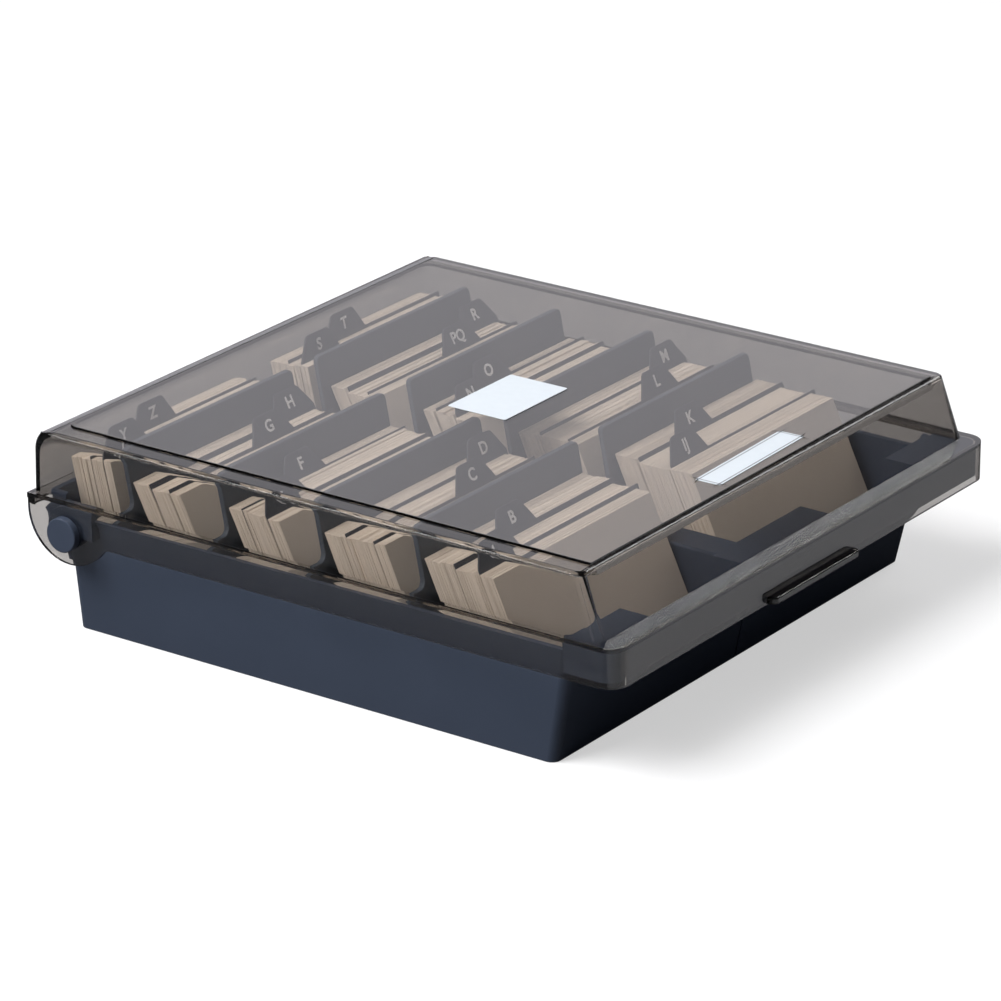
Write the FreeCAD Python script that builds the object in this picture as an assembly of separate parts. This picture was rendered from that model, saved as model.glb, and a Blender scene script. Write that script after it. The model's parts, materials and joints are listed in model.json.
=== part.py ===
import FreeCAD, Part
import math
import os

# Business card box: a tapered tray with two rows of leaning cards under a hinged smoked lid.
# Sizes are in millimetres. X runs along the front, Y to the back, Z up.
# The pieces are drawn with Y = 0 on the front face of the lid's skirt and moved to the middle at the end.

# Small gaps
runningFit = 0.08
pressedFit = 0.02
looseFit = 0.3

# Lid
lidOverhang = 9.1
lidHeadroom = 2.2
lidWall = 2.0
lidPlate = 2.2
panelRise = 2.0
panelSideInset = 9.3
panelBackInset = 8.6
panelCorner = 4.0
skirtTop = 49.6
skirtBottom = 35.8
skirtCorner = 7.5
ledgeThickness = 1.8
sideLedge = 3.0
boxSideDraft = 0.7
boxFrontBottom = 8.3
boxFrontTop = 16.4
boxBack = 242.6
boxBackRound = 8.0
boxFrontCorner = 4.2
boxEdgeRound = 2.0
innerFrontCorner = 2.5
innerEdgeRound = 2.5
innerBackRound = 6.5
beadDepth = 0.5
beadHeight = 4.4
lipHalfLength = 27.0
lipReach = 3.2
lipThickness = 2.6

# Hinge
pivotY = 226.4
pivotZ = 38.2
earY = 225.0
earZ = 44.8
earRadius = 17.8
earHollow = 4.0
pinRadius = 4.0
pinHeadRadius = 6.2
pinHeadLength = 2.7
pinHeadRound = 0.5
bossRadius = 6.0

# Tray
traySideSlope = 0.072
trayWall = 2.2
trayFront = 29.8
trayFrontSlope = 0.2
trayBack = 229.7
trayBackSlope = 0.05
trayCorner = 3.5
sideTop = 43.1
floorTop = 6.8
floorThickness = 2.4
footWidth = 7.0
barSideGap = 0.5
barFrontGap = 0.9
barBottom = 37.2
backBarY = 238.0
backBarBottom = 36.8
backBarTop = 50.4
backBarLean = 235.0
backBarLeanFoot = 23.0
backBarFoot = 25.5
backBarFootY = 234.2
backBarHalf = 110.2
backBarRound = 2.5
barEndY = 235.2
barEndRound = 8.0
cheekFront = 216.0
cheekDrop = 0.6
ribHalfWidth = 6.96
ribTop = 38.7
ribWall = 2.0
scoopOffset = 2.44
scoopWidth = 54.7
scoopFront = 9.5
scoopRadius = 21.5
seamWidth = 1.0
seamDepth = 0.5
seamHeight = 34.0

# Partitions
partitionCount = 4
partitionPitch = 40.8
lastPartitionY = 212.2
partitionHeadroom = 3.75
partitionSlope = 0.2
partitionThickness = 2.0
partitionOverlap = 2.64
partitionShoulder = 46.4
partitionCorner = 2.0
guideThickness = 1.2
guideReach = 2.4
guideReachMiddle = 1.4

# Cards and index sheets, rows counted from the front
cardWidth = 90.0
cardHeight = 55.0
cardPlay = 7.74
leftCardGap = 1.64
rightCardGap = 4.54
sheetExtraWidth = 1.0
sheetTaper = 5.0
sheetHeight = 55.0
sheetThickness = 0.6
leftSheetGap = 0.34
rightSheetGap = 5.84
tabHeight = 8.7
tabBaseWidth = 23.0
tabTopWidth = 12.5
tabRound = 2.5
tabPlaces = 4
rowLean = [25.0, 24.0, 26.5, 27.0, 13.0]
leftStacks = [[11.8, 9.3, 5.2], [8.4, 11.0, 4.4], [5.5, 9.6, 4.8], [6.6, 7.8, 4.2], [8.2, 5.0, 3.0]]
rightStacks = [[8.8, 12.6, 9.0], [8.6, 11.2, 4.2], [4.5, 8.0, 7.2], [6.5, 8.2, 4.2], [7.4, 5.4, 3.2]]
stackDrop = [0.0, 0.9, 0.4]
leftTabs = [[1, 0], [3, 2], [1, 0], [3, 2], [1, 0]]
rightTabs = [[1, 0], [3, 2], [1, 0], [3, 2], [1, 0]]

# Labels on the lid
labelThickness = 0.2
wideLabelWidth = 37.5
wideLabelDepth = 24.3
wideLabelX = 2.8
wideLabelY = 125.9
longLabelWidth = 54.0
longLabelDepth = 9.8
longLabelX = 2.0
longLabelY = 26.0
longLabelTurn = 1.5

# Sizes that follow
trayHalfBottom = ribHalfWidth + cardWidth + cardPlay + trayWall
lidHalf = trayHalfBottom + lidOverhang
lidWidth = 2 * lidHalf
lidTop = floorTop + cardHeight + tabHeight + lidHeadroom
boxHalfBottom = lidHalf - sideLedge
boxHalfTop = boxHalfBottom - boxSideDraft
boxFrontSlope = (boxFrontTop - boxFrontBottom) / (lidTop - skirtTop)
ledgeUnder = skirtTop - ledgeThickness
barTop = ledgeUnder
barHalf = lidHalf - lidWall - barSideGap
barFront = lidWall + barFrontGap
beadBack = boxBack + beadDepth
middleY = (beadBack - lipReach) / 2
floorUnder = floorTop - floorThickness
earInner = lidHalf - lidWall
farBack = beadBack + lidTop
partitionTop = lidTop - lidPlate - partitionHeadroom
partitionOuterEnd = ribHalfWidth + cardWidth + partitionOverlap
scoopMiddle = ribHalfWidth + cardWidth / 2 + scoopOffset
leftCardMiddle = -(ribHalfWidth + leftCardGap + cardWidth / 2)
rightCardMiddle = ribHalfWidth + rightCardGap + cardWidth / 2
sheetTopWidth = cardWidth + sheetExtraWidth
sheetBottomWidth = sheetTopWidth - sheetTaper
leftSheetMiddle = -(ribHalfWidth + leftSheetGap + sheetTopWidth / 2)
rightSheetMiddle = ribHalfWidth + rightSheetGap + sheetTopWidth / 2
shift = FreeCAD.Vector(0, -middleY, 0)


def point(x, y, z):
    return FreeCAD.Vector(x, y, z)


def box(x1, x2, y1, y2, z1, z2):
    return Part.makeBox(x2 - x1, y2 - y1, z2 - z1, point(x1, y1, z1))


def prism(points, along):
    wire = Part.makePolygon(points + [points[0]])
    return Part.Face(wire).extrude(along)


def alongX(pairs, x1, x2):
    return prism([point(x1, y, z) for y, z in pairs], point(x2 - x1, 0, 0))


def alongY(pairs, y1, y2):
    return prism([point(x, y1, z) for x, z in pairs], point(0, y2 - y1, 0))


def cylinderX(x1, x2, y, z, radius):
    return Part.makeCylinder(radius, x2 - x1, point(x1, y, z), point(1, 0, 0))


def mirrored(shape):
    return shape.mirror(point(0, 0, 0), point(1, 0, 0))


def edgesWhere(shape, test):
    return [edge for edge in shape.Edges if test(edge.CenterOfMass, edge.BoundBox)]


def rounded(shape, radius, test):
    edges = edgesWhere(shape, test)
    return shape.makeFillet(radius, edges)


# Lid

def lidSide(z):
    return boxHalfBottom + (boxHalfTop - boxHalfBottom) * (z - skirtTop) / (lidTop - skirtTop)


def lidFront(z):
    return boxFrontBottom + boxFrontSlope * (z - skirtTop)


def lidHull(inset, bottom, top, edgeRound, backRound):
    steep = math.sqrt(1 + boxFrontSlope ** 2)
    half1 = lidSide(bottom) - inset
    half2 = lidSide(top) - inset
    front1 = lidFront(bottom) + inset * steep
    front2 = lidFront(top) + inset * steep
    back = boxBack - inset
    across = alongY([(-half1, bottom), (half1, bottom), (half2, top), (-half2, top)], -10, back + 10)
    if edgeRound:
        across = rounded(across, edgeRound, lambda c, b: c.z > top - 0.1 and b.YLength > back)
    along = alongX([(front1, bottom), (back, bottom), (back, top), (front2, top)], -lidHalf, lidHalf)
    along = rounded(along, backRound, lambda c, b: c.z > top - 0.1 and c.y > back - 0.1)
    return across.common(along)


def lidOutside():
    hull = lidHull(0, ledgeUnder, lidTop, 0, boxBackRound)
    hull = rounded(hull, boxFrontCorner, lambda c, b: c.y < middleY and b.ZLength > 5)

    def upperEdge(c, b):
        onSide = abs(c.x) > lidSide(lidTop) - 1 and c.y > boxFrontTop + 4 and b.YLength + b.ZLength > 5
        onFront = c.y < middleY and c.z > lidTop - 0.5
        return (onSide or onFront) and c.z > ledgeUnder + 1

    return rounded(hull, boxEdgeRound, upperEdge)


def lidCavity():
    ceiling = lidTop - lidPlate - panelRise
    hull = lidHull(lidWall, ledgeUnder - 1, ceiling, innerEdgeRound, innerBackRound)
    hull = rounded(hull, innerFrontCorner, lambda c, b: c.y < boxFrontTop * 2 and c.z > ledgeUnder)
    return hull.fuse(lidPanel(ceiling))


def lidPanel(ceiling):
    half = lidSide(lidTop) - panelSideInset
    front = lidFront(ceiling)
    panel = box(-half, half, front, boxBack - panelBackInset, ceiling - 0.5, lidTop - lidPlate)
    panel = rounded(panel, panelCorner, lambda c, b: c.y > middleY and b.ZLength > panelRise)
    return panel.common(lidHull(lidWall, ledgeUnder - 1, lidTop - lidPlate, 0, innerBackRound))


def skirtOutline(inset, z1, z2, back):
    block = box(-lidHalf + inset, lidHalf - inset, inset, back, z1, z2)
    return rounded(block, skirtCorner - inset, lambda c, b: c.y < inset + 1 and b.ZLength > (z2 - z1) * 0.9)


def skirtSide():
    straight = box(-lidHalf, lidHalf, 0, earY, skirtBottom, skirtTop)
    rear = box(-lidHalf, lidHalf, earY - 1, earY + earRadius, earZ, skirtTop)
    ear = cylinderX(-lidHalf, lidHalf, earY, earZ, earRadius)
    cap = box(-lidHalf, lidHalf, earY - earRadius - 1, earY + earRadius + 1, skirtTop, earZ + earRadius + 1)
    side = straight.fuse(rear).fuse(ear.cut(cap)).removeSplitter()
    cornerY = earY - math.sqrt(earRadius ** 2 - (earZ - skirtBottom) ** 2)
    return rounded(side, earHollow,
                   lambda c, b: b.XLength > lidWidth * 0.9 and abs(c.y - cornerY) < 0.5
                   and abs(c.z - skirtBottom) < 0.5)


def fingerLip():
    lip = box(-lipHalfLength, lipHalfLength, -lipReach, lidWall / 2, skirtBottom, skirtBottom + lipThickness)
    lip = rounded(lip, lipReach * 0.8, lambda c, b: c.y < -lipReach + 0.1 and b.ZLength > lipThickness * 0.9)
    return rounded(lip, 0.6, lambda c, b: c.y < -lipReach + 0.1 and b.XLength > lipHalfLength)


def makeLid():
    low = earZ - earRadius - 1
    outer = skirtOutline(0, low, skirtTop, beadBack)
    inner = skirtOutline(lidWall, low - 1, ledgeUnder, beadBack + 20)
    skirt = outer.cut(inner).common(skirtSide())
    ledge = skirtOutline(0, ledgeUnder, skirtTop, beadBack)
    bead = box(-earInner, earInner, boxBack - lidWall, beadBack, skirtTop - beadHeight, skirtTop)
    bead = rounded(bead, 1.2, lambda c, b: c.y > beadBack - 0.1 and b.XLength > lidHalf)
    lid = lidOutside().fuse(ledge).fuse(skirt).fuse(bead).fuse(fingerLip())
    lid = lid.cut(lidCavity())
    bore = cylinderX(-lidHalf - 1, lidHalf + 1, pivotY, pivotZ, pinRadius + runningFit)
    lid = lid.cut(bore).removeSplitter()
    return lid


# Tray

def trayHalf(z):
    return trayHalfBottom + traySideSlope * z


def trayFrontY(z):
    return trayFront - trayFrontSlope * z


def trayBackY(z):
    return trayBack + trayBackSlope * z


def trayBlock(inset, z1, z2, corner):
    half1 = trayHalf(z1) - inset
    half2 = trayHalf(z2) - inset
    across = alongY([(-half1, z1), (half1, z1), (half2, z2), (-half2, z2)], 0, farBack)
    along = alongX([(trayFrontY(z1) + inset, z1), (trayBackY(z1) - inset, z1),
                    (trayBackY(z2) - inset, z2), (trayFrontY(z2) + inset, z2)], -lidHalf, lidHalf)
    block = across.common(along)
    return rounded(block, corner, lambda c, b: b.ZLength > (z2 - z1) * 0.9)


def frontBar():
    block = box(-barHalf, barHalf, barFront, trayFrontY(barTop) + 1, barBottom, barTop)
    block = rounded(block, skirtCorner - barFront, lambda c, b: c.y < barFront + 1 and b.ZLength > 5)
    inside = box(-barHalf + trayWall, barHalf - trayWall, barFront + trayWall, trayFront,
                 barBottom - 1, barTop - trayWall)
    inside = rounded(inside, skirtCorner - barFront - trayWall,
                     lambda c, b: c.y < barFront + 5 and b.ZLength > 5)
    return block.cut(inside)


def scoopShape(radius, half, back, top, middle):
    centreY = scoopFront + scoopRadius
    centreZ = barTop - 5.0
    start = point(middle - half, centreY - radius, centreZ)
    turn = point(middle - half, centreY - radius * math.sqrt(0.5), centreZ - radius * math.sqrt(0.5))
    end = point(middle - half, centreY, centreZ - radius)
    edges = [Part.Arc(start, turn, end).toShape(),
             Part.makeLine(end, point(middle - half, back, centreZ - radius)),
             Part.makeLine(point(middle - half, back, centreZ - radius), point(middle - half, back, top)),
             Part.makeLine(point(middle - half, back, top), point(middle - half, centreY - radius, top)),
             Part.makeLine(point(middle - half, centreY - radius, top), start)]
    return Part.Face(Part.Wire(edges)).extrude(point(2 * half, 0, 0))


def leanPlane(z):
    foot = trayBackY(backBarLeanFoot) - trayWall
    return foot + (backBarLean - foot) * (z - backBarLeanFoot) / (backBarTop - backBarLeanFoot)


def backBar():
    rail = box(-backBarHalf, backBarHalf, leanPlane(backBarBottom) - 2, backBarY, backBarBottom, backBarTop)
    rail = rounded(rail, backBarRound, lambda c, b: c.y > backBarY - 0.1 and b.ZLength > 5)
    rail = rounded(rail, 1.2, lambda c, b: c.y > backBarLean and c.z > backBarTop - 0.1)
    half = trayHalf(backBarFoot) - 0.5
    foot = alongX([(leanPlane(backBarFoot) - 1, backBarFoot), (trayBackY(backBarFoot) - 0.01, backBarFoot),
                   (backBarFootY, backBarBottom), (backBarFootY, backBarBottom + 1),
                   (leanPlane(backBarBottom) - 1, backBarBottom + 1)], -half, half)
    return rail.fuse(foot)


def leanSpace():
    top = backBarTop + 1
    half1 = trayHalf(backBarLeanFoot) - trayWall
    half2 = trayHalf(top) - trayWall
    across = alongY([(-half1, backBarLeanFoot), (half1, backBarLeanFoot), (half2, top), (-half2, top)],
                    lastPartitionY, farBack)
    along = alongX([(lastPartitionY, backBarLeanFoot), (leanPlane(backBarLeanFoot), backBarLeanFoot),
                    (leanPlane(top), top), (lastPartitionY, top)], -lidHalf, lidHalf)
    return across.common(along)


def backCheek():
    inner = trayHalf(sideTop) - trayWall
    cheek = box(inner - 0.4, barHalf, cheekFront, barEndY, backBarBottom, barTop - cheekDrop)
    cheek = rounded(cheek, barEndRound,
                    lambda c, b: c.y > barEndY - 0.1 and c.z > barTop - 1 and b.XLength > 2)
    boss = cylinderX(trayHalf(pivotZ) - trayWall, earInner - looseFit, pivotY, pivotZ, bossRadius)
    return cheek.fuse(boss)


def trayGuides():
    guides = []
    for index in range(partitionCount):
        foot = partitionFront(index, floorTop)
        for offset in (-guideThickness - 0.15, partitionThickness + 0.15):
            start = foot + offset
            outer1 = trayHalf(floorTop) - trayWall
            outer2 = trayHalf(sideTop) - trayWall
            rise = partitionSlope * (sideTop - 2 - floorTop)
            side = prism([point(outer1 - guideReach, start, floorTop - 0.5),
                          point(outer1 + 0.5, start, floorTop - 0.5),
                          point(outer2 + 0.5, start + rise, sideTop - 2),
                          point(outer2 - guideReach, start + rise, sideTop - 2)], point(0, guideThickness, 0))
            lift = partitionSlope * (ribTop - 2 - floorTop)
            inner = prism([point(ribHalfWidth - 0.5, start, floorTop - 0.5),
                           point(ribHalfWidth + guideReachMiddle, start, floorTop - 0.5),
                           point(ribHalfWidth + guideReachMiddle, start + lift, ribTop - 2),
                           point(ribHalfWidth - 0.5, start + lift, ribTop - 2)], point(0, guideThickness, 0))
            for piece in (side, inner):
                guides.append(piece)
                guides.append(mirrored(piece))
    return guides


def makeTray():
    outer = trayBlock(0, 0, barTop, trayCorner)
    inner = trayBlock(trayWall, floorTop, barTop + 5, trayCorner - 1.5)
    tray = outer.cut(inner)
    tray = tray.cut(box(-lidHalf, lidHalf, trayFrontY(sideTop) + trayWall + 0.6, farBack,
                        sideTop, barTop + 1))
    tray = tray.fuse(frontBar())
    half = scoopWidth / 2
    for middle in (-scoopMiddle, scoopMiddle):
        shell = scoopShape(scoopRadius + trayWall, half + trayWall, trayFront + 2, barTop, middle)
        shell = shell.cut(inner)
        tray = tray.fuse(shell)
    tray = tray.fuse(backBar())
    cheek = backCheek()
    tray = tray.fuse(cheek).fuse(mirrored(cheek))
    tray = tray.cut(leanSpace())
    rib = box(-ribHalfWidth, ribHalfWidth, trayFrontY(floorTop) + 0.5, trayBackY(0) - 0.5, floorUnder, ribTop)
    rib = rounded(rib, 1.2, lambda c, b: b.YLength > 100 and c.z > ribTop - 0.1)
    tray = tray.fuse(rib)
    for guide in trayGuides():
        tray = tray.fuse(guide)
    for middle in (-scoopMiddle, scoopMiddle):
        hollow = scoopShape(scoopRadius, half, trayFront + 8, barTop + 1, middle)
        tray = tray.cut(hollow)
    under = box(-ribHalfWidth + ribWall, ribHalfWidth - ribWall,
                trayFront + ribWall + 2, trayBack - ribWall - 2,
                -1, ribTop - ribWall)
    recess = trayBlock(footWidth, -1, floorUnder, trayCorner - 1.5)
    tray = tray.cut(recess).cut(under)
    front = trayFrontY(0)
    seam = prism([point(-seamWidth / 2, front - 2, 0.8), point(seamWidth / 2, front - 2, 0.8),
                  point(seamWidth / 2, front + seamDepth, 0.8), point(-seamWidth / 2, front + seamDepth, 0.8)],
                 point(0, -trayFrontSlope * seamHeight, seamHeight))
    tray = tray.cut(seam)
    bore = cylinderX(-barHalf - 5, barHalf + 5, pivotY, pivotZ, pinRadius + pressedFit)
    bore = bore.cut(box(-trayHalf(0) + 3, trayHalf(0) - 3, 0, farBack, 0, lidTop))
    tray = tray.cut(bore)
    return tray.removeSplitter()


def makePin():
    start = lidHalf + 0.15
    head = cylinderX(start, start + pinHeadLength, pivotY, pivotZ, pinHeadRadius)
    head = rounded(head, pinHeadRound, lambda c, b: b.XLength < 0.1 and c.x > start + 1)
    shank = cylinderX(trayHalf(pivotZ) - trayWall + 0.4, start, pivotY, pivotZ, pinRadius)
    return head.fuse(shank).removeSplitter()


# Partitions

def partitionFront(index, z):
    top = lastPartitionY - partitionPitch * (partitionCount - 1 - index)
    return top - partitionSlope * (partitionTop - z)


def makePartition(index):
    def at(x, z):
        return point(x, partitionFront(index, z), z)

    inner = ribHalfWidth + 0.25
    outerFoot = trayHalf(floorTop) - trayWall - looseFit
    outerHigh = trayHalf(partitionShoulder) - trayWall - looseFit
    outline = [at(inner, floorTop), at(outerFoot, floorTop), at(outerHigh, partitionShoulder),
               at(partitionOuterEnd, partitionShoulder), at(partitionOuterEnd, partitionTop),
               at(inner, partitionTop)]
    plate = prism(outline, point(0, partitionThickness, 0))
    plate = rounded(plate, partitionCorner,
                    lambda c, b: c.z > partitionTop - 0.1 and b.XLength < 0.1
                    and b.YLength > partitionThickness * 0.9)
    return rounded(plate, 3.0,
                   lambda c, b: abs(c.z - partitionShoulder) < 0.1 and b.XLength < 0.1
                   and abs(c.x - partitionOuterEnd) < 0.1)


# Cards and index sheets

def rowRear(row, z):
    if row < partitionCount:
        return partitionFront(row, z) - looseFit
    return backBarLean - looseFit + math.tan(math.radians(rowLean[row])) * (z - backBarTop)


def leanOf(row):
    return math.tan(math.radians(rowLean[row]))


def leaningSheet(row, depth, thickness, outline):
    slope = leanOf(row)
    top = floorTop + cardHeight * math.cos(math.radians(rowLean[row]))
    rear = rowRear(row, top) - depth

    def at(x, up):
        z = floorTop + up * math.cos(math.radians(rowLean[row]))
        return point(x, rear - slope * (top - z), z)

    return prism([at(x, up) for x, up in outline], point(0, -thickness, 0))


def rectangle(middle, bottomWidth, topWidth, height):
    return [(middle - bottomWidth / 2, 0), (middle + bottomWidth / 2, 0),
            (middle + topWidth / 2, height), (middle - topWidth / 2, height)]


def sheetStep(row):
    return sheetThickness / math.cos(math.radians(rowLean[row]))


def makeCards(row, middle, stacks):
    solids = []
    depth = 0
    for index, thickness in enumerate(stacks[row]):
        drop = stackDrop[(index + row) % len(stackDrop)]
        outline = rectangle(middle, cardWidth, cardWidth, cardHeight - drop)
        solids.append(leaningSheet(row, depth, thickness, outline))
        depth += thickness + sheetStep(row)
    return Part.makeCompound(solids)


def makeSheet(row, number, middle, stacks, tabs):
    lean = math.radians(rowLean[row])
    depth = sum(stacks[row][:number + 1]) + number * sheetStep(row)
    pitch = sheetTopWidth / tabPlaces
    tabMiddle = middle - sheetTopWidth / 2 + pitch * (tabs[row][number] + 0.5)
    base = tabBaseWidth / 2
    tip = tabTopWidth / 2
    outline = [(middle - sheetBottomWidth / 2, 0), (middle + sheetBottomWidth / 2, 0),
               (middle + sheetTopWidth / 2, sheetHeight), (tabMiddle + base, sheetHeight),
               (tabMiddle + tip, sheetHeight + tabHeight), (tabMiddle - tip, sheetHeight + tabHeight),
               (tabMiddle - base, sheetHeight), (middle - sheetTopWidth / 2, sheetHeight)]
    corners = []
    for spot in outline:
        if spot not in corners:
            corners.append(spot)
    sheet = alongY(corners, -sheetThickness, 0)
    sheet = rounded(sheet, tabRound,
                    lambda c, b: c.z > sheetHeight + tabHeight - 0.1 and b.XLength < 0.1
                    and b.YLength > sheetThickness * 0.9)
    sheet.rotate(point(0, 0, 0), point(1, 0, 0), -rowLean[row])
    top = floorTop + cardHeight * math.cos(lean)
    foot = rowRear(row, top) - depth - math.tan(lean) * (top - floorTop)
    sheet.translate(point(0, foot, floorTop))
    return sheet


# Labels

def makeLabel(width, depth, x, y, turn):
    label = box(-width / 2, width / 2, -depth / 2, depth / 2, 0, labelThickness)
    label = rounded(label, 0.8, lambda c, b: b.ZLength > labelThickness * 0.9)
    label.rotate(point(0, 0, 0), point(0, 0, 1), turn)
    label.translate(point(x, y, lidTop))
    return label


def save(name, shape):
    placed = shape.copy()
    placed.translate(shift)
    placed.exportStep("parts/" + name + ".step")
    print(name, len(placed.Solids), round(placed.Volume, 1), placed.isValid())


os.makedirs("parts", exist_ok=True)
save("lid", makeLid())
save("tray", makeTray())
pin = makePin()
save("hinge_pin_right", pin)
save("hinge_pin_left", mirrored(pin))
for index in range(partitionCount):
    partition = makePartition(index)
    save("partition_right_" + str(index + 1), partition)
    save("partition_left_" + str(index + 1), mirrored(partition))
for row in range(len(rowLean)):
    save("cards_left_" + str(row + 1), makeCards(row, leftCardMiddle, leftStacks))
    save("cards_right_" + str(row + 1), makeCards(row, rightCardMiddle, rightStacks))
    for number, name in enumerate(("rear", "front")):
        leftSheet = makeSheet(row, number, leftSheetMiddle, leftStacks, leftTabs)
        rightSheet = makeSheet(row, number, rightSheetMiddle, rightStacks, rightTabs)
        save("index_sheet_left_" + str(row + 1) + "_" + name, leftSheet)
        save("index_sheet_right_" + str(row + 1) + "_" + name, rightSheet)
save("wide_label", makeLabel(wideLabelWidth, wideLabelDepth, wideLabelX, wideLabelY, 0))
save("long_label", makeLabel(longLabelWidth, longLabelDepth, longLabelX, longLabelY, longLabelTurn))
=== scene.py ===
import json
import math
import random
import bmesh
import bpy
from mathutils import Matrix, Vector


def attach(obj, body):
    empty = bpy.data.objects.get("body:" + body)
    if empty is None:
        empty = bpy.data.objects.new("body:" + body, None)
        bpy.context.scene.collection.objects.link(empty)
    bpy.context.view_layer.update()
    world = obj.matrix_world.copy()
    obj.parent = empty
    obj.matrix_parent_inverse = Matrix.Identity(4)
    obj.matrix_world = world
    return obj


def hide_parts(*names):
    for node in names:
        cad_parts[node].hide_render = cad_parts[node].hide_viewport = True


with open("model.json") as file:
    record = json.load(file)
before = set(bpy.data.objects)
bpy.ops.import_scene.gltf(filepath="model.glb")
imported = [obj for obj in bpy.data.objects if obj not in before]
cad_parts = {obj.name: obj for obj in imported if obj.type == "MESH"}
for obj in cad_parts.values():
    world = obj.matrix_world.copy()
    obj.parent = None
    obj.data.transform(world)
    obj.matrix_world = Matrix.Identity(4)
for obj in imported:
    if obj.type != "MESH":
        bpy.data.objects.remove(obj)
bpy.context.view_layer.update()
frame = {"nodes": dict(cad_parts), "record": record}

nodes = frame["nodes"]
bodyOf = {}
for bodyName, members in frame["record"]["behaviour"]["bodies"].items():
    for member in members:
        bodyOf[member] = bodyName


# small helpers for node materials

def newMaterial(name):
    material = bpy.data.materials.new(name)
    material.use_nodes = True
    tree = material.node_tree
    tree.nodes.clear()
    output = tree.nodes.new("ShaderNodeOutputMaterial")
    return material, tree, output


def addNode(tree, kind, **values):
    node = tree.nodes.new(kind)
    for key, value in values.items():
        if key in node.inputs:
            node.inputs[key].default_value = value
        else:
            setattr(node, key, value)
    return node


def objectCoordinates(tree):
    return tree.nodes.new("ShaderNodeTexCoord").outputs["Object"]


def moulded(name, settings):
    # satin moulded plastic with a fine grain and slightly uneven gloss
    material, tree, output = newMaterial(name)
    link = tree.links.new
    coordinates = objectCoordinates(tree)
    shader = addNode(tree, "ShaderNodeBsdfPrincipled")
    shader.inputs["Specular IOR Level"].default_value = settings["specular"]
    grain = addNode(tree, "ShaderNodeTexNoise")
    grain.inputs["Scale"].default_value = settings["grainScale"]
    grain.inputs["Detail"].default_value = 3
    link(coordinates, grain.inputs["Vector"])
    cloud = addNode(tree, "ShaderNodeTexNoise")
    cloud.inputs["Scale"].default_value = 35
    cloud.inputs["Detail"].default_value = 4
    link(coordinates, cloud.inputs["Vector"])
    tone = addNode(tree, "ShaderNodeMix", data_type="RGBA")
    tone.inputs[6].default_value = (*settings["dark"], 1)
    tone.inputs[7].default_value = (*settings["light"], 1)
    link(cloud.outputs["Fac"], tone.inputs[0])
    link(tone.outputs[2], shader.inputs["Base Color"])
    gloss = addNode(tree, "ShaderNodeMapRange")
    gloss.inputs["To Min"].default_value = settings["gloss"][0]
    gloss.inputs["To Max"].default_value = settings["gloss"][1]
    link(cloud.outputs["Fac"], gloss.inputs["Value"])
    link(gloss.outputs["Result"], shader.inputs["Roughness"])
    bump = addNode(tree, "ShaderNodeBump")
    bump.inputs["Strength"].default_value = settings["grain"]
    bump.inputs["Distance"].default_value = 0.0001
    link(grain.outputs["Fac"], bump.inputs["Height"])
    link(bump.outputs["Normal"], shader.inputs["Normal"])
    link(shader.outputs["BSDF"], output.inputs["Surface"])
    return material


def smoked(name, settings):
    # clear plastic with the tint in its volume, so that thick edges turn dark
    material, tree, output = newMaterial(name)
    link = tree.links.new
    glass = addNode(tree, "ShaderNodeBsdfPrincipled")
    glass.inputs["Base Color"].default_value = (*settings["surface"], 1)
    glass.inputs["Roughness"].default_value = settings["roughness"]
    glass.inputs["IOR"].default_value = settings["ior"]
    glass.inputs["Transmission Weight"].default_value = 1
    coordinates = objectCoordinates(tree)
    ripple = addNode(tree, "ShaderNodeTexNoise")
    ripple.inputs["Scale"].default_value = 18
    ripple.inputs["Detail"].default_value = 1
    link(coordinates, ripple.inputs["Vector"])
    bump = addNode(tree, "ShaderNodeBump")
    bump.inputs["Strength"].default_value = settings["ripple"]
    bump.inputs["Distance"].default_value = 0.0004
    link(ripple.outputs["Fac"], bump.inputs["Height"])
    link(bump.outputs["Normal"], glass.inputs["Normal"])
    clear = addNode(tree, "ShaderNodeBsdfTransparent")
    clear.inputs["Color"].default_value = (0.95, 0.95, 0.95, 1)
    rays = addNode(tree, "ShaderNodeLightPath")
    mix = addNode(tree, "ShaderNodeMixShader")
    link(rays.outputs["Is Shadow Ray"], mix.inputs["Fac"])
    link(glass.outputs["BSDF"], mix.inputs[1])
    link(clear.outputs["BSDF"], mix.inputs[2])
    link(mix.outputs["Shader"], output.inputs["Surface"])
    absorb = addNode(tree, "ShaderNodeVolumeAbsorption")
    absorb.inputs["Color"].default_value = (*settings["tint"], 1)
    absorb.inputs["Density"].default_value = settings["density"]
    pale = addNode(tree, "ShaderNodeVolumeAbsorption")
    pale.inputs["Color"].default_value = (*settings["tint"], 1)
    pale.inputs["Density"].default_value = settings["shadowDensity"]
    depth = addNode(tree, "ShaderNodeMixShader")
    link(rays.outputs["Is Shadow Ray"], depth.inputs["Fac"])
    link(absorb.outputs["Volume"], depth.inputs[1])
    link(pale.outputs["Volume"], depth.inputs[2])
    link(depth.outputs["Shader"], output.inputs["Volume"])
    return material


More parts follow.
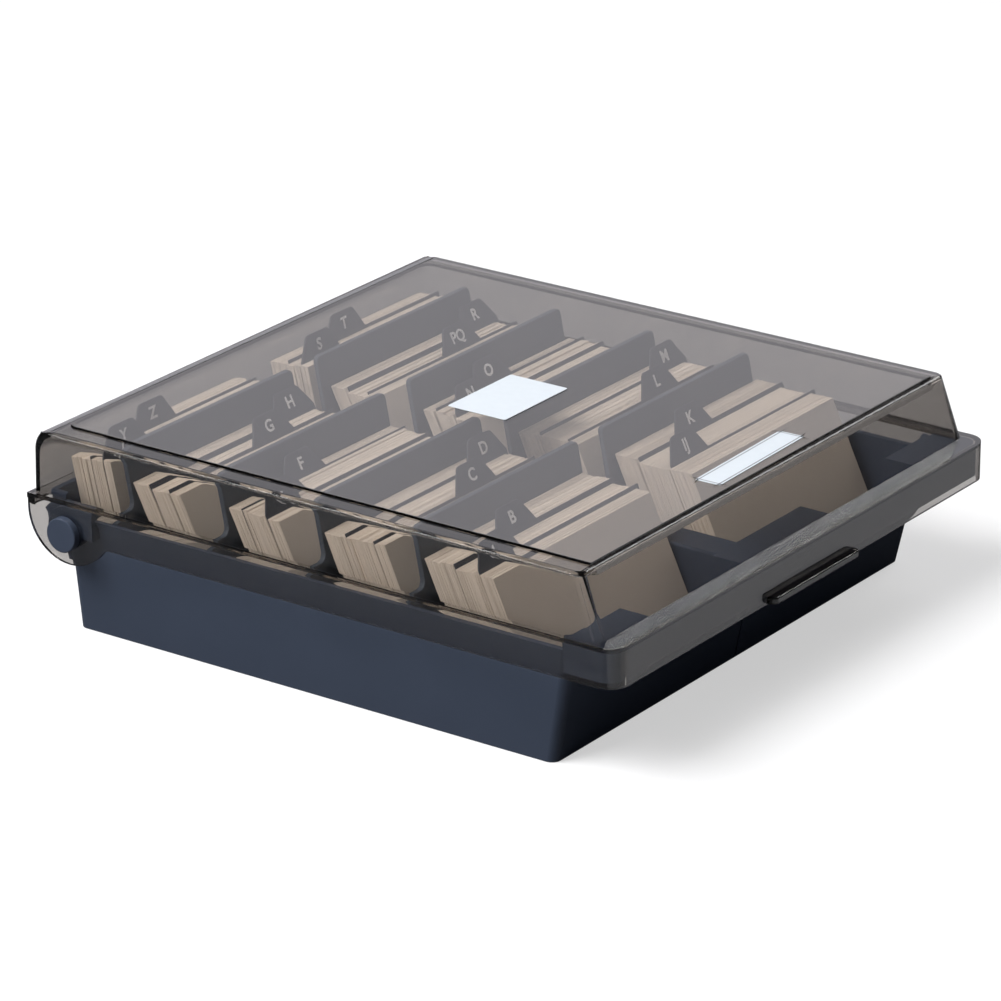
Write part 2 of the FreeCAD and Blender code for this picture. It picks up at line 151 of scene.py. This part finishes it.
def paper(name, settings):
    material, tree, output = newMaterial(name)
    link = tree.links.new
    coordinates = objectCoordinates(tree)
    shader = addNode(tree, "ShaderNodeBsdfPrincipled")
    shader.inputs["Roughness"].default_value = 0.75
    shader.inputs["Specular IOR Level"].default_value = 0.25
    fibre = addNode(tree, "ShaderNodeTexNoise")
    fibre.inputs["Scale"].default_value = settings["scale"]
    fibre.inputs["Detail"].default_value = 5
    link(coordinates, fibre.inputs["Vector"])
    tone = addNode(tree, "ShaderNodeMix", data_type="RGBA")
    tone.inputs[6].default_value = (*settings["dark"], 1)
    tone.inputs[7].default_value = (*settings["light"], 1)
    link(fibre.outputs["Fac"], tone.inputs[0])
    colour = tone.outputs[2]
    if settings.get("shade"):
        shade = addNode(tree, "ShaderNodeAttribute", attribute_name="shade")
        multiply = addNode(tree, "ShaderNodeMix", data_type="RGBA", blend_type="MULTIPLY")
        multiply.inputs[0].default_value = 1
        link(colour, multiply.inputs[6])
        link(shade.outputs["Color"], multiply.inputs[7])
        colour = multiply.outputs[2]
    link(colour, shader.inputs["Base Color"])
    bump = addNode(tree, "ShaderNodeBump")
    bump.inputs["Strength"].default_value = 0.15
    bump.inputs["Distance"].default_value = 0.0001
    link(fibre.outputs["Fac"], bump.inputs["Height"])
    link(bump.outputs["Normal"], shader.inputs["Normal"])
    link(shader.outputs["BSDF"], output.inputs["Surface"])
    return material


trayLook = moulded("tray_plastic_look", {
    "dark": (0.037, 0.048, 0.073), "light": (0.048, 0.061, 0.092),
    "gloss": (0.36, 0.46), "specular": 0.3, "grainScale": 2500, "grain": 0.12})
partitionLook = moulded("partition_look", {
    "dark": (0.055, 0.068, 0.088), "light": (0.066, 0.08, 0.103),
    "gloss": (0.4, 0.5), "specular": 0.5, "grainScale": 2500, "grain": 0.1})
sheetLook = moulded("sheet_look", {
    "dark": (0.045, 0.05, 0.065), "light": (0.055, 0.06, 0.075),
    "gloss": (0.3, 0.42), "specular": 0.5, "grainScale": 1800, "grain": 0.08})
lidLook = smoked("lid_look", {
    "surface": (1, 1, 1), "roughness": 0.0, "ior": 1.49, "tint": (0.165, 0.128, 0.10),
    "density": 510, "shadowDensity": 35, "ripple": 0.004})
# painted shade: an opaque near-black look for the clear lid's panel riser faces, standing in for the dark
# line that the clear riser shows
lidRiserPaintedShadeLook = moulded("lid_riser_painted_shade_look", {
    "dark": (0.004, 0.005, 0.008), "light": (0.006, 0.007, 0.011),
    "gloss": (0.3, 0.4), "specular": 0.3, "grainScale": 2500, "grain": 0.05})
cardLook = paper("card_look", {
    "dark": (0.78, 0.68, 0.57), "light": (0.84, 0.74, 0.63), "scale": 220, "shade": True})
labelLook = paper("label_look", {"dark": (0.58, 0.625, 0.67), "light": (0.63, 0.675, 0.72), "scale": 300})
letterLook = paper("letter_look", {"dark": (0.8, 0.8, 0.8), "light": (0.86, 0.86, 0.86), "scale": 300})
print("materials made")


# pieces

def place(piece, body, slotName, replaced=()):
    bpy.context.scene.collection.objects.link(piece)
    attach(piece, body)
    for name in replaced:
        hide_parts(name)
    return piece


def meshPiece(name, bm, look):
    mesh = bpy.data.meshes.new(name)
    bm.to_mesh(mesh)
    bm.free()
    mesh.materials.append(look)
    return bpy.data.objects.new(name, mesh)


def smoothed(mesh, degrees):
    mesh.shade_smooth()
    mesh.set_sharp_from_angle(angle=math.radians(degrees))


largeFace = 0.0003


def flatFacesFirst(mesh, degrees):
    # a large flat face keeps its own normal, and the narrow faces of a rounding lead into it
    bm = bmesh.new()
    bm.from_mesh(mesh)
    limit = math.cos(math.radians(degrees))
    normals = []
    for face in bm.faces:
        large = face.calc_area() > largeFace
        for loop in face.loops:
            total = Vector(face.normal)
            if not large:
                near = [other for other in loop.vert.link_faces if other.normal.dot(face.normal) > limit]
                total = sum((other.normal * other.calc_area() for other in near), Vector())
            normals.append(total.normalized())
    bm.free()
    mesh.normals_split_custom_set(normals)


def refined(node, look, slotName, settings, reshape=None):
    # the frame's own shape with its hard edges eased
    bm = bmesh.new()
    bm.from_mesh(nodes[node].data)
    bmesh.ops.remove_doubles(bm, verts=bm.verts, dist=1e-6)
    bmesh.ops.dissolve_limit(bm, angle_limit=math.radians(0.6), verts=bm.verts, edges=bm.edges,
                             delimit={"NORMAL"})
    if reshape:
        reshape(bm)
    bmesh.ops.recalc_face_normals(bm, faces=bm.faces)
    if settings["width"]:
        limit = math.radians(settings["limit"])
        hard = [e for e in bm.edges if len(e.link_faces) == 2 and e.calc_face_angle() > limit]
        bmesh.ops.bevel(bm, geom=hard, offset=settings["width"], offset_type="OFFSET", segments=2,
                        profile=0.5, affect="EDGES", clamp_overlap=True)
    piece = meshPiece(node + "_look", bm, look)
    smoothed(piece.data, settings["smooth"])
    flatFacesFirst(piece.data, settings["smooth"])
    return place(piece, bodyOf[node], slotName, [node])


refined("tray", trayLook, "tray_plastic", {"width": 0.0003, "limit": 35, "smooth": 46})

# a vertex this close to a surface counts as on it
slack = 0.0001

# the flat panel of the lid's top stands a little above the border around it
panel = {"half": 0.1045, "back": 0.114, "corner": 0.004, "riser": 0.0004, "drop": 0.0008,
         "slope": 0.05, "top": 0.0727, "edgeRound": 0.0021, "ceiling": 0.0705, "thinned": 0.0005}


def beyondPanel(x, y):
    across = abs(x) - panel["half"] + panel["corner"]
    along = y - panel["back"] + panel["corner"]
    if across > 0 and along > 0:
        return math.hypot(across, along) - panel["corner"]
    return max(across, along) - panel["corner"]


def raisedPanel(bm):
    for offset in (0, panel["riser"]):
        for side in (-1, 1):
            for degrees in (0, 15, 30, 45, 60, 75, 90):
                turn = math.radians(degrees)
                normal = Vector((side * math.cos(turn), math.sin(turn), 0))
                across = side * (panel["half"] - panel["corner"])
                centre = Vector((across, panel["back"] - panel["corner"], 0))
                top = [f for f in bm.faces
                       if f.normal.z > 0.99 and f.calc_center_median().z > panel["top"] - slack]
                geometry = list({v for f in top for v in f.verts})
                geometry += list({e for f in top for e in f.edges}) + top
                bmesh.ops.bisect_plane(bm, geom=geometry, plane_no=normal,
                                       plane_co=centre + normal * (panel["corner"] + offset))
    for vertex in bm.verts:
        share = min(1, (vertex.co.z - panel["top"] + panel["edgeRound"]) / panel["edgeRound"])
        distance = beyondPanel(vertex.co.x, vertex.co.y)
        if share > 0 and distance > 0:
            fall = min(1, distance / panel["riser"]) * panel["drop"]
            fall += max(0, distance - panel["riser"]) * panel["slope"]
            vertex.co.z -= fall * share
        if abs(vertex.co.z - panel["ceiling"]) < slack:
            vertex.co.z += panel["thinned"]


# the border's ceiling is lifted, so the near wall stays clear almost up to its edge
border = {"ceiling": 0.0685, "lift": 0.0015, "wall": 0.1105, "round": 0.0025, "newRound": 0.001,
          "backRound": 0.0065, "back": 0.1141, "front": -0.1, "frontSlope": 0.33}


def thinBorder(bm):
    shrink = border["newRound"] / border["round"]
    roundStart = border["wall"] - border["round"]
    backLow = border["ceiling"] - border["backRound"]
    for vertex in bm.verts:
        x, y, z = vertex.co
        side = 1 if x > 0 else -1
        fromBack = math.hypot(y - border["back"], z - backLow)
        onBack = y > border["back"] and z > backLow and abs(fromBack - border["backRound"]) < 2 * slack
        beside = roundStart - slack < abs(x) < border["wall"] + 3 * slack
        inRound = beside and border["ceiling"] - border["round"] - 3 * slack < z < border["ceiling"] + slack
        onCeiling = abs(z - border["ceiling"]) < slack and abs(x) < roundStart + slack
        if not (onBack or onCeiling or (inRound and y < border["back"] + slack)):
            continue
        if beside:
            x = side * (border["wall"] - border["newRound"] + (abs(x) - roundStart) * shrink)
        if onBack:
            z += border["lift"] * (z - backLow) / border["backRound"]
        else:
            z = border["ceiling"] + border["lift"] - (border["ceiling"] - z) * (shrink if beside else 1)
        if y < border["front"]:
            y += (z - vertex.co.z) * border["frontSlope"]
        vertex.co = (x, y, z)


def reshapedLid(bm):
    raisedPanel(bm)
    thinBorder(bm)


lid = refined("lid", lidLook, "lid_plastic", {"width": 0.00012, "limit": 35, "smooth": 46}, reshapedLid)
# the riser faces around the raised panel get the near-black painted shade as the lid's second material
lid.data.materials.append(lidRiserPaintedShadeLook)
riserShadeBand = {"low": 0.0699, "high": 0.0712}
for face in lid.data.polygons:
    corners = [lid.data.vertices[i].co for i in face.vertices]
    inside = all(abs(c.x) < panel["half"] for c in corners)
    level = all(riserShadeBand["low"] < c.z < riserShadeBand["high"] for c in corners)
    if inside and level and abs(face.normal.z) < 0.5:
        face.material_index = 1
for side in ("left", "right"):
    refined("hinge_pin_" + side, trayLook, "pin_plastic", {"width": 0, "limit": 35, "smooth": 35})
    for number in range(1, 5):
        refined("partition_%s_%d" % (side, number), partitionLook, "partition_plastic",
                {"width": 0.0003, "limit": 35, "smooth": 46})
print("plastic pieces made")


def islands(bm):
    left = set(bm.verts)
    found = []
    while left:
        stack = [left.pop()]
        group = set(stack)
        while stack:
            vertex = stack.pop()
            for edge in vertex.link_edges:
                other = edge.other_vert(vertex)
                if other in left:
                    left.discard(other)
                    group.add(other)
                    stack.append(other)
        found.append([vertex.co.copy() for vertex in group])
    return found


cards = {"thickness": 0.00036, "slide": 0.00025, "rise": 0.0003, "gap": 0.06, "step": 0.12,
         "darkest": 0.22}
boxSides = ((3, 2, 1, 0), (4, 5, 6, 7), (0, 1, 5, 4), (1, 2, 6, 5), (2, 3, 7, 6), (3, 0, 4, 7))


def cardPack(node, seed):
    # every stack is filled with single cards that don't quite line up
    rng = random.Random(seed)
    source = bmesh.new()
    source.from_mesh(nodes[node].data)
    bmesh.ops.remove_doubles(source, verts=source.verts, dist=1e-6)
    groups = islands(source)
    source.free()
    bm = bmesh.new()
    shade = bm.verts.layers.float_color.new("shade")
    for corners in groups:
        low = min(c.z for c in corners)
        high = max(c.z for c in corners)
        left = min(c.x for c in corners)
        right = max(c.x for c in corners)
        bottom = [c.y for c in corners if c.z < (low + high) / 2]
        top = [c.y for c in corners if c.z > (low + high) / 2]
        front, back = min(bottom), max(bottom)
        slope = (max(top) - back) / (high - low)
        count = max(2, round((back - front) / cards["thickness"]))
        pitch = (back - front) / count
        drift = 0
        sink = 0
        for index in range(count):
            if rng.random() < cards["step"]:
                drift = rng.uniform(-1, 1) * cards["slide"] * 1.6
                sink = rng.uniform(0, 1) * cards["rise"] * 2
            slide = drift + rng.uniform(-1, 1) * cards["slide"] * 0.5
            drop = sink + rng.uniform(0, 1) * cards["rise"]
            face = front + pitch * (index + cards["gap"] / 2)
            rear = face + pitch * (1 - cards["gap"])
            tone = 1 - cards["darkest"] * rng.random() ** 2
            verts = []
            for z in (low, high - drop):
                lean = slope * (z - low)
                for x, y in ((left, face), (right, face), (right, rear), (left, rear)):
                    vertex = bm.verts.new((x + slide, y + lean, z))
                    vertex[shade] = (tone, tone, tone, 1)
                    verts.append(vertex)
            for corner in boxSides:
                bm.faces.new([verts[i] for i in corner])
    piece = meshPiece(node + "_look", bm, cardLook)
    return place(piece, "tray", "card", [node])


seed = 1
for side in ("left", "right"):
    for row in range(1, 6):
        cardPack("cards_%s_%d" % (side, row), seed)
        seed += 1
print("cards made")


letters = {"left": [["A", "B"], ["C", "D"], ["E", "F"], ["G", "H"], ["Y", "Z"]],
           "right": [["IJ", "K"], ["L", "M"], ["N", "O"], ["PQ", "R"], ["S", "T"]]}
letter = {"size": 0.0060, "down": 0.0048, "raised": 0.00003, "weight": 0.00016, "crown": 0.0012}


def tabLetter(node, character):
    mesh = nodes[node].data
    faces = [f for f in mesh.polygons if f.normal.y < -0.5]
    normal = max(faces, key=lambda f: f.area).normal.copy()
    front = [mesh.vertices[i].co for f in faces for i in f.vertices]
    highest = max(v.z for v in front)
    crown = [v for v in front if v.z > highest - letter["crown"]]
    middle = (min(v.x for v in crown) + max(v.x for v in crown)) / 2
    peak = max(front, key=lambda v: v.z)
    up = Vector((0, normal.z, -normal.y))
    spot = Vector((middle, peak.y, peak.z)) - up * letter["down"] + normal * letter["raised"]
    curve = bpy.data.curves.new(node + "_letter", "FONT")
    curve.body = character
    curve.align_x = "CENTER"
    curve.align_y = "CENTER"
    curve.size = letter["size"]
    curve.extrude = letter["raised"]
    curve.offset = letter["weight"]
    text = bpy.data.objects.new(node + "_letter_curve", curve)
    bpy.context.scene.collection.objects.link(text)
    bpy.context.view_layer.update()
    shape = bpy.data.meshes.new_from_object(text)
    bpy.data.objects.remove(text)
    turn = Matrix((Vector((1, 0, 0)), up, normal)).transposed().to_4x4()
    shape.transform(Matrix.Translation(spot) @ turn)
    shape.materials.clear()
    shape.materials.append(letterLook)
    return place(bpy.data.objects.new(node + "_letter", shape), "tray", "label_paper")


for side in ("left", "right"):
    for row in range(1, 6):
        for index, name in enumerate(("front", "rear")):
            node = "index_sheet_%s_%d_%s" % (side, row, name)
            tabLetter(node, letters[side][row - 1][index])
            refined(node, sheetLook, "index_sheet", {"width": 0.0001, "limit": 35, "smooth": 46})
print("index sheets made")

for label in ("wide_label", "long_label"):
    refined(label, labelLook, "label_paper", {"width": 0, "limit": 35, "smooth": 46})

frameLine = {"margin": 0.0008, "width": 0.0003, "lift": 0.00002}
inkLook = paper("ink_look", {"dark": (0.02, 0.021, 0.025), "light": (0.03, 0.031, 0.035), "scale": 300})


def labelFrame(node):
    # a thin printed line around an otherwise blank label
    bm = bmesh.new()
    bm.from_mesh(nodes[node].data)
    bmesh.ops.remove_doubles(bm, verts=bm.verts, dist=1e-6)
    bmesh.ops.dissolve_limit(bm, angle_limit=math.radians(1), verts=bm.verts, edges=bm.edges)
    highest = max(f.calc_center_median().z for f in bm.faces)
    lower = [f for f in bm.faces if f.calc_center_median().z < highest - 1e-6]
    bmesh.ops.delete(bm, geom=lower, context="FACES")
    allRound = {"use_boundary": True, "use_even_offset": True}
    outer = bmesh.ops.inset_region(bm, faces=bm.faces[:], thickness=frameLine["margin"], **allRound)["faces"]
    inner = [f for f in bm.faces if f not in outer]
    line = bmesh.ops.inset_region(bm, faces=inner, thickness=frameLine["width"], **allRound)["faces"]
    bmesh.ops.delete(bm, geom=[f for f in bm.faces if f not in line], context="FACES")
    bmesh.ops.translate(bm, vec=(0, 0, frameLine["lift"]), verts=bm.verts)
    return place(meshPiece(node + "_line", bm, inkLook), "lid", "label_paper")


labelFrame("long_label")


# camera, floor and light

middleY = 0.11995
view = {"azimuth": -54.512, "elevation": 21.678, "roll": -0.21,
        "place": (-1.3928, -0.8658 - middleY, 0.7150), "lens": 190.69}
a, e, r = (math.radians(view[key]) for key in ("azimuth", "elevation", "roll"))
backward = Vector((math.sin(a) * math.cos(e), -math.cos(a) * math.cos(e), math.sin(e)))
right = (-backward).cross(Vector((0, 0, 1))).normalized()
up = right.cross(-backward)
turnedRight = right * math.cos(r) + up * math.sin(r)
turnedUp = -right * math.sin(r) + up * math.cos(r)
cameraData = bpy.data.cameras.new("camera")
cameraData.lens = view["lens"]
cameraData.sensor_width = 36
cameraData.clip_end = 20
camera = bpy.data.objects.new("camera", cameraData)
pose = Matrix((turnedRight, turnedUp, backward)).transposed().to_4x4()
camera.matrix_world = Matrix.Translation(view["place"]) @ pose
bpy.context.scene.collection.objects.link(camera)
bpy.context.scene.camera = camera

# the camera sees a white floor with a soft shadow, the plastic mirrors a darker one, bright in front
floorMaterial, floorTree, floorOutput = newMaterial("floor_look")
link = floorTree.links.new
paleFloor = addNode(floorTree, "ShaderNodeBsdfDiffuse", Color=(0.93, 0.93, 0.94, 1))
glow = addNode(floorTree, "ShaderNodeEmission", Color=(1, 1, 1, 1), Strength=1.0)
shown = addNode(floorTree, "ShaderNodeMixShader", Fac=0.55)
link(paleFloor.outputs["BSDF"], shown.inputs[1])
link(glow.outputs["Emission"], shown.inputs[2])
darkFloor = addNode(floorTree, "ShaderNodeBsdfDiffuse", Color=(0.12, 0.12, 0.125, 1))
split = floorTree.nodes.new("ShaderNodeSeparateXYZ")
link(objectCoordinates(floorTree), split.inputs["Vector"])
inFront = addNode(floorTree, "ShaderNodeMapRange", interpolation_type="SMOOTHSTEP")
inFront.inputs["From Min"].default_value = -0.148
inFront.inputs["From Max"].default_value = -0.166
inFront.inputs["To Max"].default_value = 0.6
link(split.outputs["Y"], inFront.inputs["Value"])
mirrored = addNode(floorTree, "ShaderNodeEmission", Color=(0.97, 0.97, 1, 1))
link(inFront.outputs["Result"], mirrored.inputs["Strength"])
both = floorTree.nodes.new("ShaderNodeAddShader")
link(darkFloor.outputs["BSDF"], both.inputs[0])
link(mirrored.outputs["Emission"], both.inputs[1])
rays = floorTree.nodes.new("ShaderNodeLightPath")
glossy = floorTree.nodes.new("ShaderNodeMixShader")
link(rays.outputs["Is Glossy Ray"], glossy.inputs["Fac"])
link(darkFloor.outputs["BSDF"], glossy.inputs[1])
link(both.outputs["Shader"], glossy.inputs[2])
direct = addNode(floorTree, "ShaderNodeMath", operation="MAXIMUM")
link(rays.outputs["Is Camera Ray"], direct.inputs[0])
link(rays.outputs["Is Transmission Ray"], direct.inputs[1])
floorMix = floorTree.nodes.new("ShaderNodeMixShader")
link(direct.outputs["Value"], floorMix.inputs["Fac"])
link(glossy.outputs["Shader"], floorMix.inputs[1])
link(shown.outputs["Shader"], floorMix.inputs[2])
link(floorMix.outputs["Shader"], floorOutput.inputs["Surface"])
bm = bmesh.new()
bmesh.ops.create_grid(bm, x_segments=1, y_segments=1, size=6)
floor = meshPiece("floor", bm, floorMaterial)
floor.location.z = -0.0002
bpy.context.scene.collection.objects.link(floor)


def areaLight(name, place, target, size, power, colour=(1, 1, 1), spread=180):
    data = bpy.data.lights.new(name, "AREA")
    data.shape = "RECTANGLE"
    data.size, data.size_y = size
    data.energy = power
    data.color = colour
    data.spread = math.radians(spread)
    light = bpy.data.objects.new(name, data)
    light.location = place
    light.rotation_euler = (Vector(target) - Vector(place)).to_track_quat("-Z", "Y").to_euler()
    bpy.context.scene.collection.objects.link(light)
    return light


key = areaLight("key", (-1.42, 0.55, 2.0), (0, 0, 0.03), (1.3, 1.3), 78)
key.visible_glossy = False
areaLight("edge_strip", (-0.97, 1.40, 1.98), (0, 0, 0.07), (0.9, 0.9), 20)
areaLight("front_strip", (1.95, -0.15, 1.65), (0, -0.1, 0.05), (0.8, 1.1), 14)
fill = areaLight("side_fill", (-1.9, -0.1, 0.5), (0, 0, 0.04), (0.9, 0.5), 4)
fill.visible_glossy = False

# a studio that is bright behind and above the box and dark in front of it
studio = {"toward": (0.74, 0.58, 0.28), "low": 0.08, "high": 1.0, "from": 0.86, "to": 0.95}
world = bpy.data.worlds.new("world")
bpy.context.scene.world = world
world.use_nodes = True
tree = world.node_tree
tree.nodes.clear()
link = tree.links.new
worldOutput = tree.nodes.new("ShaderNodeOutputWorld")
direction = tree.nodes.new("ShaderNodeTexCoord")
facing = addNode(tree, "ShaderNodeVectorMath", operation="DOT_PRODUCT")
facing.inputs[1].default_value = Vector(studio["toward"]).normalized()
link(direction.outputs["Generated"], facing.inputs[0])
ramp = addNode(tree, "ShaderNodeMapRange", interpolation_type="SMOOTHSTEP")
ramp.inputs["From Min"].default_value = studio["from"]
ramp.inputs["From Max"].default_value = studio["to"]
ramp.inputs["To Min"].default_value = studio["low"]
ramp.inputs["To Max"].default_value = studio["high"]
link(facing.outputs["Value"], ramp.inputs["Value"])
lit = addNode(tree, "ShaderNodeBackground", Color=(0.95, 0.93, 1, 1))
link(ramp.outputs["Result"], lit.inputs["Strength"])
seen = addNode(tree, "ShaderNodeBackground", Color=(1, 1, 1, 1), Strength=1.0)
rays = tree.nodes.new("ShaderNodeLightPath")
either = addNode(tree, "ShaderNodeMath", operation="MAXIMUM")
link(rays.outputs["Is Camera Ray"], either.inputs[0])
link(rays.outputs["Is Transmission Ray"], either.inputs[1])
mix = tree.nodes.new("ShaderNodeMixShader")
link(either.outputs["Value"], mix.inputs["Fac"])
link(lit.outputs["Background"], mix.inputs[1])
link(seen.outputs["Background"], mix.inputs[2])
link(mix.outputs["Shader"], worldOutput.inputs["Surface"])
bpy.context.scene.view_settings.view_transform = "Standard"
print("camera and lights set")
